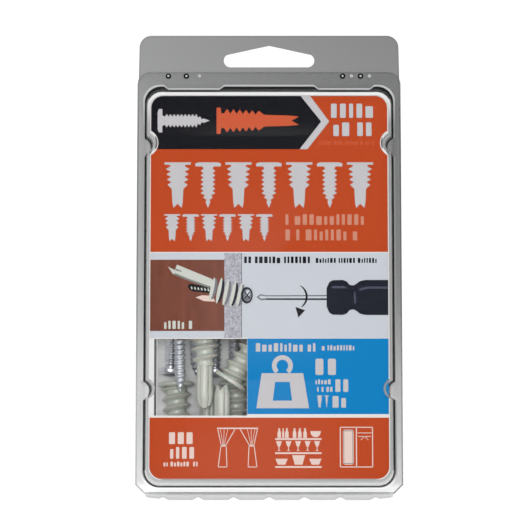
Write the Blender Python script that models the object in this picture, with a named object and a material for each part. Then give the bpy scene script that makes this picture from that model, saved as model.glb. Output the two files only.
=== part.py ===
"""A hang pack of self-drilling wall anchors: a hinged clear clamshell, two cards, 22 anchors and 22 screws.

Metres, +Z up. The origin is the point where a peg bears, at the apex of the hang hole, midway between the
two flanges. The front of the pack faces -Y. The halves meet at Y = 0 and fold about a living hinge below.
"""

import math
import random

import bmesh
import bpy
import numpy as np
from mathutils import Matrix, Vector

MM = 0.001

# Sheet and running gaps
SHEET = 0.5 * MM
HINGE_SHEET = 0.4 * MM
GAP = 0.3 * MM
CARD_THICKNESS = 0.5 * MM

# The mouth that both cavities share
MOUTH_HALF_WIDTH = 42.9 * MM
MOUTH_TOP = -14.8 * MM
MOUTH_HEIGHT = 139.4 * MM
MOUTH_RADIUS = 5.2 * MM

# Flange and header outline, round the mouth
SIDE_FLANGE = 3.2 * MM
BOTTOM_FLANGE = 2.8 * MM
FLANGE_CORNER_CUT = 3.1 * MM
FRONT_TOP_FLANGE = 5.2 * MM
FRONT_FLANGE_RADIUS = 4.5 * MM
HEADER_TOP = 3.6 * MM
HEADER_INSET = 0.6 * MM
HEADER_RADIUS = 4.2 * MM
HEADER_SHOULDER = -11.8 * MM
HEADER_SHOULDER_FALL = 1.6 * MM

# Depths and wall draft
FRONT_DEPTH = 11.0 * MM
FRONT_DRAFT = 1.3 * MM
FRONT_TOP_DRAFT = 3.9 * MM
BACK_DRAFT = 3.0 * MM

# Side lugs that hold the front card, and the two recesses in the top wall
UPPER_LUG_DROP = 21.6 * MM
LOWER_LUG_RISE = 32.7 * MM
LUG_HALF_CHORD = 3.4 * MM
LUG_DEPTH = 2.2 * MM
LUG_STEPS = 5
RECESS_CENTRE = 26.3 * MM
RECESS_HALF_LENGTH = 10.6 * MM
RECESS_DEPTH = 1.2 * MM
RECESS_RAMP = 1.6 * MM

# Hang hole
HANG_HALF_WIDTH = 15.9 * MM
HANG_SHOULDER = -2.9 * MM
HANG_BOTTOM = -7.7 * MM
HANG_END_STEPS = 5

# Snap studs on the front flange and their sockets in the header
STUD_PLACES = (-35.3 * MM, -29.0 * MM, 25.8 * MM, 32.1 * MM)
STUD_DROP = 1.4 * MM
STUD_RADIUS = 1.0 * MM
STUD_LENGTH = 1.1 * MM
STUD_HOLLOW_RADIUS = 0.55 * MM
STUD_CLEARANCE = 0.25 * MM
SOCKET_WALL = 0.45 * MM
STUD_SIDES = 8

# Living hinge: a bead broken into lobes, folded about a line just below it
LOBE_PITCH = 12.2 * MM
LOBE_COUNT_EACH_SIDE = 3
LOBE_END_RAMP = 1.4 * MM
NOTCH_HALF_WIDTH = 0.7 * MM
BEAD_BULGE = 1.5 * MM
BEAD_DROP = 0.9 * MM
LOBE_DROP = 1.0 * MM
BEAD_STEPS = 3
HINGE_FOLD_GAP = 0.15 * MM

# Cards
CARD_SIDE_GAP = 0.4 * MM
CARD_TOP_DROP = 4.6 * MM
CARD_FLOOR_GAP = 0.5 * MM
CARD_RADIUS = 4.5 * MM
WINDOW_WIDTH = 33.6 * MM
WINDOW_HEIGHT = 26.3 * MM
WINDOW_RISE = 21.7 * MM
BACK_CARD_TOP_DROP = 6.7 * MM
BACK_CARD_SIDE_GAP = 0.6 * MM

# Anchors
ANCHOR_COUNT = 22
ANCHOR_LENGTH = 31.8 * MM
HEAD_RADIUS = 6.2 * MM
HEAD_THICKNESS = 1.5 * MM
THREAD_TOP_RADIUS = 5.5 * MM
THREAD_TAPER = 0.9 * MM
CORE_TOP_RADIUS = 3.8 * MM
CORE_TAPER = 0.9 * MM
THREAD_PITCH = 3.6 * MM
THREAD_START = 0.5 * MM
THREAD_TURNS = 4
NOSE_RADIUS = 2.8 * MM
NOSE_START = 17.5 * MM
TIP_TAPER = 3.0 * MM
TIP_RADIUS = 2.0 * MM
BORE_RADIUS = 1.5 * MM
ANCHOR_SIDES = 8

# Screws
SCREW_COUNT = 22
SCREW_LENGTH = 31.8 * MM
SCREW_HEAD_RADIUS = 4.05 * MM
SCREW_HEAD_THICKNESS = 2.6 * MM
SCREW_HEAD_RIM = 1.5 * MM
SCREW_CROWN_RADIUS = 2.4 * MM
SCREW_RADIUS = 2.08 * MM
SCREW_POINT = 5.0 * MM
SCREW_SIDES = 8

# How the loose pieces lie: two layers of three rows, each piece as far left as its neighbours let it go
PIECE_GAP = 0.45 * MM
WALL_GAP = 0.8 * MM
LAYER_PLAY = 0.5 * MM
LAYER_COUNT = 2
ROW_GAP = 1.7 * MM
ROW_COUNT = 3
ROW_JITTER = 0.5 * MM
ANGLE_JITTER = math.radians(3.0)
ANCHOR_LEAN = math.radians(3.0)
SCREW_LEAN = math.radians(4.5)
HEIGHT_STEP = 0.25 * MM
STEP = 0.1 * MM
SEED = 7

# Derived places
MOUTH_BOTTOM = MOUTH_TOP - MOUTH_HEIGHT
FLANGE_HALF_WIDTH = MOUTH_HALF_WIDTH + SIDE_FLANGE
FLANGE_BOTTOM = MOUTH_BOTTOM - BOTTOM_FLANGE
FRONT_FLANGE_TOP = MOUTH_TOP + FRONT_TOP_FLANGE
HEADER_HALF_WIDTH = FLANGE_HALF_WIDTH - HEADER_INSET
LUG_HEIGHTS = (MOUTH_BOTTOM + LOWER_LUG_RISE, MOUTH_TOP - UPPER_LUG_DROP)
STUD_Z = FRONT_FLANGE_TOP - STUD_DROP
CARD_HALF_WIDTH = MOUTH_HALF_WIDTH - FRONT_DRAFT - CARD_SIDE_GAP
CARD_TOP = MOUTH_TOP - CARD_TOP_DROP
CARD_BOTTOM = MOUTH_BOTTOM + FRONT_DRAFT + CARD_FLOOR_GAP
WINDOW_RIGHT = WINDOW_WIDTH - CARD_HALF_WIDTH
WINDOW_BOTTOM = CARD_BOTTOM + WINDOW_RISE
WINDOW_TOP = WINDOW_BOTTOM + WINDOW_HEIGHT
BACK_CARD_TOP = MOUTH_TOP - BACK_CARD_TOP_DROP
FLANGE_Y = GAP / 2
FRONT_FACE_Y = -FRONT_DEPTH
FRONT_FACE_INNER_Y = FRONT_FACE_Y + SHEET
FRONT_CARD_Y = FRONT_FACE_INNER_Y + GAP
HEAP_FRONT_Y = FRONT_CARD_Y + CARD_THICKNESS + GAP
LAYER_THICKNESS = 2 * max(HEAD_RADIUS, THREAD_TOP_RADIUS) + LAYER_PLAY
HEAP_BACK_Y = HEAP_FRONT_Y + LAYER_COUNT * LAYER_THICKNESS
BACK_CARD_Y = HEAP_BACK_Y + GAP
BACK_FACE_INNER_Y = BACK_CARD_Y + CARD_THICKNESS + GAP
HINGE_Z = FLANGE_BOTTOM - BEAD_DROP - LOBE_DROP - HINGE_SHEET - HINGE_FOLD_GAP

BOW = 5  # segments in each rounded corner


def clear_scene():
    for old in list(bpy.data.objects):
        bpy.data.objects.remove(old, do_unlink=True)


def material(name, colour, roughness, metallic=0.0, alpha=1.0):
    made = bpy.data.materials.new(name)
    made.use_nodes = True
    shader = made.node_tree.nodes["Principled BSDF"]
    shader.inputs["Base Color"].default_value = (*colour, 1.0)
    shader.inputs["Roughness"].default_value = roughness
    shader.inputs["Metallic"].default_value = metallic
    shader.inputs["Alpha"].default_value = alpha
    return made


def object_from(name, bm, surface):
    """A named object from a bmesh, with its normals made consistent and its round faces shaded smooth."""
    mesh = bpy.data.meshes.new(name)
    bmesh.ops.recalc_face_normals(bm, faces=bm.faces)
    bm.to_mesh(mesh)
    bm.free()
    mesh.shade_smooth()
    mesh.set_sharp_from_angle(angle=math.radians(35))
    mesh.materials.append(surface)
    made = bpy.data.objects.new(name, mesh)
    bpy.context.scene.collection.objects.link(made)
    return made


def helper(name, bm):
    """A cutter or an added shape for a Boolean: never a piece of the pack."""
    made = object_from(name, bm, bpy.data.materials["clear_sheet"])
    made.hide_render = True
    made.display_type = "WIRE"
    return made


def boolean(target, tool, operation):
    step = target.modifiers.new(f"{operation.lower()}_{tool.name}", "BOOLEAN")
    step.operation = operation
    step.solver = "EXACT"
    step.object = tool


# ---------------------------------------------------------------- outlines in the XZ plane


def corner(cx, cz, radius, start, cut=False):
    """A quarter circle or a straight cut, clockwise from the front, from the angle start in degrees."""
    turns = [math.radians(start - 90 * k / BOW) for k in range(BOW + 1)]
    points = [(cx + radius * math.cos(a), cz + radius * math.sin(a)) for a in turns]
    if not cut:
        return points
    (x0, z0), (x1, z1) = points[0], points[-1]
    return [(x0 + (x1 - x0) * k / BOW, z0 + (z1 - z0) * k / BOW) for k in range(BOW + 1)]


def lug(side_x, z, depth, direction):
    """Points along a side, upwards for direction 1, that bow inwards by depth over the lug's chord."""
    inwards = -math.copysign(1, side_x)
    bow_radius = (LUG_HALF_CHORD**2 + LUG_DEPTH**2) / (2 * LUG_DEPTH)
    points = []
    for k in range(LUG_STEPS + 1):
        s = math.sin(math.pi * (k / LUG_STEPS - 0.5)) * direction
        rise = math.sqrt(bow_radius**2 - (LUG_HALF_CHORD * s) ** 2) - (bow_radius - LUG_DEPTH)
        points.append((side_x + inwards * depth * rise / LUG_DEPTH, z + LUG_HALF_CHORD * s))
    return points


def recess(centre, top, depth):
    """Points along the top, left to right, that step down by depth over one recess."""
    outer, inner = RECESS_HALF_LENGTH, RECESS_HALF_LENGTH - RECESS_RAMP
    return [
        (centre - outer, top),
        (centre - inner, top - depth),
        (centre + inner, top - depth),
        (centre + outer, top),
    ]


def lobe_edges():
    """X places along the bottom where the bead's drop changes, each with its share of LOBE_DROP."""
    edges = []
    for k in range(-LOBE_COUNT_EACH_SIDE, LOBE_COUNT_EACH_SIDE + 1):
        notch = k * LOBE_PITCH
        edges += [
            (notch - NOTCH_HALF_WIDTH - LOBE_END_RAMP, 1.0),
            (notch - NOTCH_HALF_WIDTH, 0.0),
            (notch + NOTCH_HALF_WIDTH, 0.0),
            (notch + NOTCH_HALF_WIDTH + LOBE_END_RAMP, 1.0),
        ]
    return edges


def ring(half_width, top, bottom, top_radius, bottom_radius, lug_depth=0.0, recess_depth=0.0, cut=False):
    """A closed outline with the same count of points at every size, so that two of them can be bridged."""
    left, right = -half_width, half_width
    points = corner(left + bottom_radius, bottom + bottom_radius, bottom_radius, 270, cut)
    for z in LUG_HEIGHTS:
        points += lug(left, z, lug_depth, 1)
    points += corner(left + top_radius, top - top_radius, top_radius, 180)
    spread = min(1.0, (half_width - top_radius - GAP) / (RECESS_CENTRE + RECESS_HALF_LENGTH))
    for side in (-1, 1):
        points += [(x * spread, z) for x, z in recess(side * RECESS_CENTRE, top, recess_depth)]
    points += corner(right - top_radius, top - top_radius, top_radius, 90)
    for z in reversed(LUG_HEIGHTS):
        points += lug(right, z, lug_depth, -1)
    points += corner(right - bottom_radius, bottom + bottom_radius, bottom_radius, 0, cut)
    lobes = [x for x, _ in reversed(lobe_edges())]
    spread = min(1.0, (half_width - bottom_radius - GAP) / lobes[0])
    points += [(x * spread, bottom) for x in lobes]
    return points


def header_ring():
    """The back flange's outline, with the narrower header that carries the hang hole."""
    points = ring(
        FLANGE_HALF_WIDTH, HEADER_TOP, FLANGE_BOTTOM, HEADER_RADIUS, FLANGE_CORNER_CUT, cut=True
    )
    narrowed = []
    for x, z in points:
        share = min(1.0, max(0.0, (z - HEADER_SHOULDER) / HEADER_SHOULDER_FALL))
        inset = (FLANGE_HALF_WIDTH - HEADER_HALF_WIDTH) * share
        narrowed.append((x - math.copysign(inset, x) if abs(x) > inset else x, z))
    return narrowed


def hang_outline():
    """The hang hole: a level floor, round ends, and two slopes that meet at the peg's bearing point."""
    end_radius = (HANG_SHOULDER - HANG_BOTTOM) / 2
    end_x = HANG_HALF_WIDTH - end_radius
    end_z = (HANG_SHOULDER + HANG_BOTTOM) / 2
    right = []
    for k in range(HANG_END_STEPS + 1):
        a = math.radians(-90 + 150 * k / HANG_END_STEPS)
        right.append((end_x + end_radius * math.cos(a), end_z + end_radius * math.sin(a)))
    left = [(-x, z) for x, z in reversed(right)]
    return [*right, (0.0, 0.0), *left]


# ---------------------------------------------------------------- shells


def sheet_of(rings, hinge_side):
    """An open sheet through rings of (outline, y), capped by the last, with half a bead on the first."""
    bm = bmesh.new()
    loops = [[bm.verts.new((x, y, z)) for x, z in outline] for outline, y in rings]
    for outer, inner in zip(loops, loops[1:]):
        for k in range(len(outer)):
            n = (k + 1) % len(outer)
            bm.faces.new((outer[k], outer[n], inner[n], inner[k]))
    bm.faces.new(loops[-1])
    lobes = lobe_edges()
    above = loops[0][-len(lobes):]
    shares = [share for _, share in reversed(lobes)]
    for step in range(1, BEAD_STEPS + 1):
        turn = math.pi * step / (BEAD_STEPS * 2)
        below = []
        for start, share in zip(loops[0][-len(lobes):], shares):
            drop = BEAD_DROP + LOBE_DROP * share
            bulge = (BEAD_BULGE + LOBE_DROP * share / 2) * math.sin(2 * turn)
            z = FLANGE_BOTTOM - drop * (1 - math.cos(turn))
            below.append(bm.verts.new((start.co.x, hinge_side * (FLANGE_Y + bulge), z)))
        for k in range(len(above) - 1):
            bm.faces.new((above[k], above[k + 1], below[k + 1], below[k]))
        above = below
    return bm


def face_outwards(bm, outward_y):
    """Turns every face of an open sheet the same way, with the cap facing outward_y."""
    bmesh.ops.recalc_face_normals(bm, faces=bm.faces)
    cap = max(bm.faces, key=lambda f: len(f.verts))
    if cap.normal.y * outward_y < 0:
        bmesh.ops.reverse_faces(bm, faces=bm.faces)


def shell(name, rings, outward_y, surface):
    """A thermoformed half: the sheet's contents side is modelled, and its thickness lies outside it."""
    bm = sheet_of(rings, outward_y)
    face_outwards(bm, outward_y)
    mesh = bpy.data.meshes.new(name)
    bm.to_mesh(mesh)
    bm.free()
    mesh.materials.append(surface)
    made = bpy.data.objects.new(name, mesh)
    bpy.context.scene.collection.objects.link(made)
    thicken = made.modifiers.new("sheet", "SOLIDIFY")
    thicken.thickness = SHEET
    thicken.offset = 1.0
    thicken.use_even_offset = True
    return made


def cylinder_along_y(bm, x, y_middle, z, radius, length, sides):
    place = Matrix.Translation((x, y_middle, z)) @ Matrix.Rotation(math.pi / 2, 4, "X")
    bmesh.ops.create_cone(
        bm, cap_ends=True, segments=sides, radius1=radius, radius2=radius, depth=length, matrix=place
    )


def stud_cylinders(radius, y_low, y_high):
    """One bmesh with a cylinder along Y at each stud."""
    bm = bmesh.new()
    for x in STUD_PLACES:
        cylinder_along_y(bm, x, (y_low + y_high) / 2, STUD_Z, radius, y_high - y_low, STUD_SIDES)
    return bm


def prism(outline, y_low, y_high):
    """A flat outline in XZ, extruded along Y."""
    bm = bmesh.new()
    base = bm.faces.new([bm.verts.new((x, y_low, z)) for x, z in outline])
    grown = bmesh.ops.extrude_face_region(bm, geom=[base])
    tops = [v for v in grown["geom"] if isinstance(v, bmesh.types.BMVert)]
    bmesh.ops.translate(bm, verts=tops, vec=(0.0, y_high - y_low, 0.0))
    return bm


def mouth_ring(inset, lug_depth=0.0, recess_depth=0.0, top_inset=None):
    """The shared mouth, moved inwards by a wall's draft, which can be its own at the top."""
    top = MOUTH_TOP - (inset if top_inset is None else top_inset)
    return ring(
        MOUTH_HALF_WIDTH - inset, top, MOUTH_BOTTOM + inset,
        MOUTH_RADIUS - inset / 2, MOUTH_RADIUS - inset / 2, lug_depth, recess_depth,
    )


def back_shell(surface):
    made = shell(
        "back_shell",
        [
            (header_ring(), FLANGE_Y),
            (mouth_ring(0.0), FLANGE_Y),
            (mouth_ring(BACK_DRAFT), BACK_FACE_INNER_Y),
        ],
        1,
        surface,
    )
    rear = FLANGE_Y + SHEET
    socket_radius = STUD_RADIUS + STUD_CLEARANCE
    socket_end = FLANGE_Y + STUD_LENGTH + STUD_CLEARANCE
    bosses = stud_cylinders(socket_radius + SOCKET_WALL, rear - SHEET / 2, socket_end + SOCKET_WALL)
    boolean(made, helper("socket_bosses", bosses), "UNION")
    hollows = stud_cylinders(socket_radius, -FLANGE_Y, socket_end)
    boolean(made, helper("socket_hollows", hollows), "DIFFERENCE")
    hang = prism(hang_outline(), -SHEET * 4, SHEET * 6)
    boolean(made, helper("hang_hole", hang), "DIFFERENCE")
    return made


def front_shell(surface):
    flange = ring(
        FLANGE_HALF_WIDTH, FRONT_FLANGE_TOP, FLANGE_BOTTOM, FRONT_FLANGE_RADIUS, FLANGE_CORNER_CUT, cut=True
    )
    made = shell(
        "front_shell",
        [
            (flange, -FLANGE_Y),
            (mouth_ring(0.0, LUG_DEPTH, RECESS_DEPTH), -FLANGE_Y),
            (mouth_ring(FRONT_DRAFT, LUG_DEPTH, top_inset=FRONT_TOP_DRAFT), FRONT_FACE_INNER_Y),
        ],
        -1,
        surface,
    )
    studs = stud_cylinders(STUD_RADIUS, -FLANGE_Y - SHEET / 2, FLANGE_Y + STUD_LENGTH)
    boolean(made, helper("studs", studs), "UNION")
    hollows = stud_cylinders(STUD_HOLLOW_RADIUS, -FLANGE_Y - SHEET * 2, FLANGE_Y + STUD_LENGTH / 2)
    boolean(made, helper("stud_hollows", hollows), "DIFFERENCE")
    return made


# ---------------------------------------------------------------- cards


def card_outline(half_width, top, bottom, radius):
    return [
        *corner(-half_width + radius, bottom + radius, radius, 270),
        *corner(-half_width + radius, top - radius, radius, 180),
        *corner(half_width - radius, top - radius, radius, 90),
        *corner(half_width - radius, bottom + radius, radius, 0),
    ]


def lug_reliefs():
    """Cutters that clear the card round the shell's side lugs."""
    bm = bmesh.new()
    bow_radius = (LUG_HALF_CHORD**2 + LUG_DEPTH**2) / (2 * LUG_DEPTH)
    wall = MOUTH_HALF_WIDTH - FRONT_DRAFT
    middle = wall - LUG_DEPTH + bow_radius
    relief = bow_radius + SHEET + GAP
    for side in (-1, 1):
        for z in LUG_HEIGHTS:
            cylinder_along_y(bm, side * middle, FRONT_CARD_Y, z, relief, CARD_THICKNESS * 6, 32)
    return bm


def front_card(surface):
    outline = card_outline(CARD_HALF_WIDTH, CARD_TOP, CARD_BOTTOM, CARD_RADIUS)
    window = [
        (-CARD_HALF_WIDTH, WINDOW_BOTTOM),
        (WINDOW_RIGHT, WINDOW_BOTTOM),
        (WINDOW_RIGHT, WINDOW_TOP),
        (-CARD_HALF_WIDTH, WINDOW_TOP),
    ]
    lower_left, upper_left = outline[: BOW + 1], outline[BOW + 1:]
    whole = [*lower_left, *window, *upper_left]
    card = object_from("front_card", prism(whole, FRONT_CARD_Y, FRONT_CARD_Y + CARD_THICKNESS), surface)
    boolean(card, helper("lug_reliefs", lug_reliefs()), "DIFFERENCE")
    return card


def back_card(surface):
    depth_share = (BACK_CARD_Y - FLANGE_Y) / (BACK_FACE_INNER_Y - FLANGE_Y)
    wall_inset = BACK_DRAFT * depth_share + BACK_CARD_SIDE_GAP
    outline = card_outline(
        MOUTH_HALF_WIDTH - wall_inset, BACK_CARD_TOP, MOUTH_BOTTOM + wall_inset, CARD_RADIUS
    )
    return object_from("back_card", prism(outline, BACK_CARD_Y, BACK_CARD_Y + CARD_THICKNESS), surface)


# ---------------------------------------------------------------- anchors and screws


def turned(profile, sides, closed):
    """Spins a profile of (radius, distance from the head's face) about Z, downwards. Closed makes a tube."""
    bm = bmesh.new()
    rows = []
    for radius, depth in profile:
        if radius == 0:
            rows.append([bm.verts.new((0.0, 0.0, -depth))])
            continue
        turns = (2 * math.pi * k / sides for k in range(sides))
        rows.append([bm.verts.new((radius * math.cos(a), radius * math.sin(a), -depth)) for a in turns])
    pairs = list(zip(rows, rows[1:]))
    if closed:
        pairs.append((rows[-1], rows[0]))
    for above, below in pairs:
        for k in range(sides):
            n = (k + 1) % sides
            top = [above[k % len(above)], above[n % len(above)]]
            bottom = [below[n % len(below)], below[k % len(below)]]
            bm.faces.new(list(dict.fromkeys(top + bottom)))
    return bm


def first_crest():
    return HEAD_THICKNESS + THREAD_START + THREAD_PITCH / 2


def anchor_profile():
    """Head, deep thread as ridges, plain nose and tapered tip, then back up the bore."""
    profile = [(BORE_RADIUS, 0.0), (HEAD_RADIUS, 0.0), (HEAD_RADIUS, HEAD_THICKNESS)]
    for turn in range(THREAD_TURNS):
        share = turn / (THREAD_TURNS - 1)
        crest = first_crest() + turn * THREAD_PITCH
        profile.append((CORE_TOP_RADIUS - CORE_TAPER * share, crest - THREAD_PITCH / 2))
        profile.append((THREAD_TOP_RADIUS - THREAD_TAPER * share, crest))
    return [
        *profile,
        (NOSE_RADIUS, NOSE_START),
        (NOSE_RADIUS, ANCHOR_LENGTH - TIP_TAPER),
        (TIP_RADIUS, ANCHOR_LENGTH),
        (BORE_RADIUS, ANCHOR_LENGTH),
    ]


def screw_profile():
    """Pan head, plain cylinder at the thread's outer radius, and point."""
    return [
        (0.0, 0.0),
        (SCREW_CROWN_RADIUS, 0.0),
        (SCREW_HEAD_RADIUS, SCREW_HEAD_RIM),
        (SCREW_HEAD_RADIUS, SCREW_HEAD_THICKNESS),
        (SCREW_RADIUS, SCREW_HEAD_THICKNESS),
        (SCREW_RADIUS, SCREW_LENGTH - SCREW_POINT),
        (0.0, SCREW_LENGTH),
    ]


def widths(kind):
    """(distances from the head's face, half widths) that bound a piece's side view."""
    if kind == "screw":
        outline = [
            (0.0, SCREW_HEAD_RADIUS),
            (SCREW_HEAD_THICKNESS, SCREW_HEAD_RADIUS),
            (SCREW_HEAD_THICKNESS + STEP, SCREW_RADIUS),
            (SCREW_LENGTH, SCREW_RADIUS),
        ]
        return zip(*outline)
    crest = first_crest()
    last_crest = crest + (THREAD_TURNS - 1) * THREAD_PITCH
    low_radius = THREAD_TOP_RADIUS - THREAD_TAPER
    outline = [
        (0.0, HEAD_RADIUS),
        (HEAD_THICKNESS, HEAD_RADIUS),
        (HEAD_THICKNESS + STEP, THREAD_TOP_RADIUS),
        (crest, THREAD_TOP_RADIUS),
        (last_crest, low_radius),
        (NOSE_START, low_radius),
        (NOSE_START + STEP, NOSE_RADIUS),
        (ANCHOR_LENGTH, NOSE_RADIUS),
    ]
    return zip(*outline)


# ---------------------------------------------------------------- how the loose pieces lie


class Layer:
    """One layer of the tray, filled from its left wall: front holds how far it is full at each height."""

    def __init__(self, y_middle, inset, lug_depth=0.0):
        self.y = y_middle
        self.floor = MOUTH_BOTTOM + inset + WALL_GAP
        self.heights = np.arange(MOUTH_BOTTOM, MOUTH_TOP, HEIGHT_STEP)
        self.wall = np.full(len(self.heights), MOUTH_HALF_WIDTH - inset - WALL_GAP)
        for z in LUG_HEIGHTS:
            self.wall[abs(self.heights - z) < LUG_HALF_CHORD + WALL_GAP] -= lug_depth
        self.front = -self.wall

    def fit(self, kind, z, angle, least_x=-math.inf):
        """The least x at which a head's face can lie at height z, or infinity past the right wall."""
        steps, view_x = self.cells(kind, z, angle)
        x = max(least_x, np.max(self.front[steps] - view_x) + PIECE_GAP)
        return float(x) if np.all(x + view_x < self.wall[steps]) else math.inf

    def hold(self, kind, x, z, angle):
        steps, view_x = self.cells(kind, z, angle)
        np.maximum.at(self.front, steps, view_x + x)

    def cells(self, kind, z, angle):
        view_x, view_z = side_view(kind, angle)
        steps = np.round((view_z + z - MOUTH_BOTTOM) / HEIGHT_STEP).astype(int)
        return np.clip(steps, 0, len(self.heights) - 1), view_x

    def head_height(self, kind, row, angle, lift):
        """The height of a head's face that centres a piece on its row, and keeps it off the floor."""
        _, view_z = side_view(kind, angle)
        middle = self.floor + (ANCHOR_LENGTH + ROW_GAP) * (row + 0.5) + lift
        return max(middle - (view_z.min() + view_z.max()) / 2, self.floor - view_z.min())


def side_view(kind, angle):
    """Points all over a piece's side view, as (x, z) arrays counted from its head's face."""
    distances, half_widths = widths(kind)
    along, across = np.meshgrid(np.linspace(0, max(distances), 240), np.linspace(-1, 1, 25))
    across = across * np.interp(along, distances, half_widths)
    x = along * math.cos(angle) - across * math.sin(angle)
    z = along * math.sin(angle) + across * math.cos(angle)
    return x.ravel(), z.ravel()


def stand(x, y, z, angle, lean, roll):
    """The matrix that puts a head's face at (x, y, z), with the point towards angle in the XZ plane."""
    towards = Matrix.Rotation(-angle - math.pi / 2, 4, "Y")
    leaned = Matrix.Rotation(lean, 4, "X") @ Matrix.Rotation(roll, 4, "Z")
    return Matrix.Translation((x, y, z)) @ towards @ leaned


def window_pieces():
    """The pieces seen through the card's window: (kind, least head x, head z, angle to the point)."""
    right, top = WINDOW_RIGHT, WINDOW_TOP
    return [
        ("screw", right - 23.6 * MM, top + 13.9 * MM, math.radians(-89)),
        ("anchor", right - 14.6 * MM, top + 8.5 * MM, math.radians(-90)),
        ("anchor", right - 8.6 * MM, top - 46.8 * MM, math.radians(90)),
        ("anchor", right - 6.1 * MM, top - 14.4 * MM, math.radians(57)),
    ]


def next_in_row(layer, row, kinds, dice):
    """The first of the kinds that still fits a row, with its point up or down, whichever is further left."""
    lift = ROW_JITTER * dice.random() if row else 0.0
    turn = dice.uniform(-ANGLE_JITTER, ANGLE_JITTER)
    for kind in kinds:
        choices = []
        for upright in (math.radians(90), math.radians(-90)):
            angle = upright + turn
            z = layer.head_height(kind, row, angle, lift)
            choices.append((layer.fit(kind, z, angle), z, angle))
        x, z, angle = min(choices)
        if x < math.inf:
            return kind, x, z, angle
    return None


def heap():
    """Every loose piece as (kind, matrix): the window's pieces first, then each row of each layer."""
    dice = random.Random(SEED)
    leans = {"anchor": ANCHOR_LEAN, "screw": SCREW_LEAN}
    front = Layer(HEAP_FRONT_Y + LAYER_THICKNESS / 2, FRONT_DRAFT, LUG_DEPTH)
    back = Layer(HEAP_FRONT_Y + LAYER_THICKNESS * 1.5, BACK_DRAFT)
    wanted = ["anchor"] * ANCHOR_COUNT + ["screw"] * SCREW_COUNT
    placed = []

    def put(layer, kind, x, z, angle):
        layer.hold(kind, x, z, angle)
        lean = dice.uniform(-leans[kind], leans[kind])
        placed.append((kind, stand(x, layer.y, z, angle, lean, dice.uniform(0, math.pi))))
        wanted.remove(kind)

    for kind, least_x, z, angle in window_pieces():
        put(front, kind, front.fit(kind, z, angle, least_x), z, angle)
    dice.shuffle(wanted)
    for row in range(ROW_COUNT):
        for layer in (front, back):
            while wanted:
                found = next_in_row(layer, row, list(dict.fromkeys(wanted)), dice)
                if found is None:
                    break
                put(layer, *found)
    if wanted:
        raise ValueError(f"{len(wanted)} loose pieces have no room in the tray")
    return placed


def loose_pieces(surfaces):
    meshes = {
        "anchor": object_from("anchor_01", turned(anchor_profile(), ANCHOR_SIDES, True), surfaces["anchor"]),
        "screw": object_from("screw_01", turned(screw_profile(), SCREW_SIDES, False), surfaces["screw"]),
    }
    made = {"anchor": 0, "screw": 0}
    for kind, matrix in heap():
        made[kind] += 1
        piece = meshes[kind]
        if made[kind] > 1:
            piece = bpy.data.objects.new(f"{kind}_{made[kind]:02d}", piece.data)
            bpy.context.scene.collection.objects.link(piece)
        piece.matrix_world = matrix
    return made


def build():
    clear_scene()
    clear_sheet = material("clear_sheet", (0.62, 0.64, 0.64), 0.12, alpha=0.45)
    printed = material("printed_card", (0.78, 0.22, 0.06), 0.45)
    plain = material("plain_card", (0.80, 0.80, 0.78), 0.60)
    surfaces = {
        "anchor": material("nylon", (0.80, 0.81, 0.76), 0.38),
        "screw": material("zinc_steel", (0.55, 0.56, 0.58), 0.30, metallic=1.0),
    }
    hinge = bpy.data.objects.new("front_shell_hinge", None)
    bpy.context.scene.collection.objects.link(hinge)
    hinge.location = (0.0, 0.0, HINGE_Z)
    back_shell(clear_sheet)
    back_card(plain)
    for piece in (front_shell(clear_sheet), front_card(printed)):
        piece.parent = hinge
        piece.matrix_parent_inverse = Matrix.Translation(-Vector(hinge.location))
    loose_pieces(surfaces)


build()
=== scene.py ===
"""The looks of the clamshell pack of wall anchors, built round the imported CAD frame."""

import math
import random

import bmesh
import bpy
import numpy as np
from mathutils import Matrix, Vector


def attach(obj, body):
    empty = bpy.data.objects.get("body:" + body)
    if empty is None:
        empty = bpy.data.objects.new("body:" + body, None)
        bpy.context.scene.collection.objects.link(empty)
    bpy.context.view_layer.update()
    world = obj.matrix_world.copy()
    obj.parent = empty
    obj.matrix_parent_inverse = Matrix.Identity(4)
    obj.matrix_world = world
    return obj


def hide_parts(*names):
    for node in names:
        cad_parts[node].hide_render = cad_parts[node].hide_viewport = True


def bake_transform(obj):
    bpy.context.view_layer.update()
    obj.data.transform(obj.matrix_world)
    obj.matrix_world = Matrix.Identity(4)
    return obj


MM = 0.001
TAU = 2 * math.pi

# How much brighter the studio's light makes a surface than its own colour
LIGHT = 1.55

# Sizes in millimetres. They are the CAD's, but for the mouth's top, 0.5 mm lower, and its slope.
FLANGE_Y = 0.15
SHEET = 0.5
MOUTH_HALF = 42.9
MOUTH_TOP = -15.3
MOUTH_BOTTOM = -154.2
MOUTH_RADIUS = 5.2
FLANGE_HALF = 46.1
FLANGE_BOTTOM = -157.0
FLANGE_CUT = 3.1
FRONT_TOP = -9.6
HEADER_TOP = 3.6
HEADER_HALF = 45.5
FACE_Y = -10.5
BACK_Y = 17.5
FRONT_DRAFT = 1.3
FRONT_TOP_SLOPE = 3.0
BACK_DRAFT = 3.0
LUG_ZS = (-121.5, -36.4)
LUG_HALF = 3.4
LUG_DEPTH = 2.2
RECESS_X = 26.3
RECESS_HALF = 10.6
RECESS_FLAT_HALF = 9.0
RECESS_DEPTH = 1.2
STUD_Z = -11.0
HINGE_Z = -159.45
LOBE_PITCH = 12.2
CARD_Y = -10.2
ANCHOR_LENGTH = 31.8
SCREW_LENGTH = 31.8


# ---------------------------------------------------------------- materials


def srgb(red, green, blue):
    """A colour as it should look under the studio's light, turned into a surface's own linear colour."""
    def linear(c):
        c /= 255
        return (c / 12.92 if c <= 0.04045 else ((c + 0.055) / 1.055) ** 2.4) / LIGHT

    return linear(red), linear(green), linear(blue)


SOCKETS = {"specular_ior_level": "Specular IOR Level"}


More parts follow.
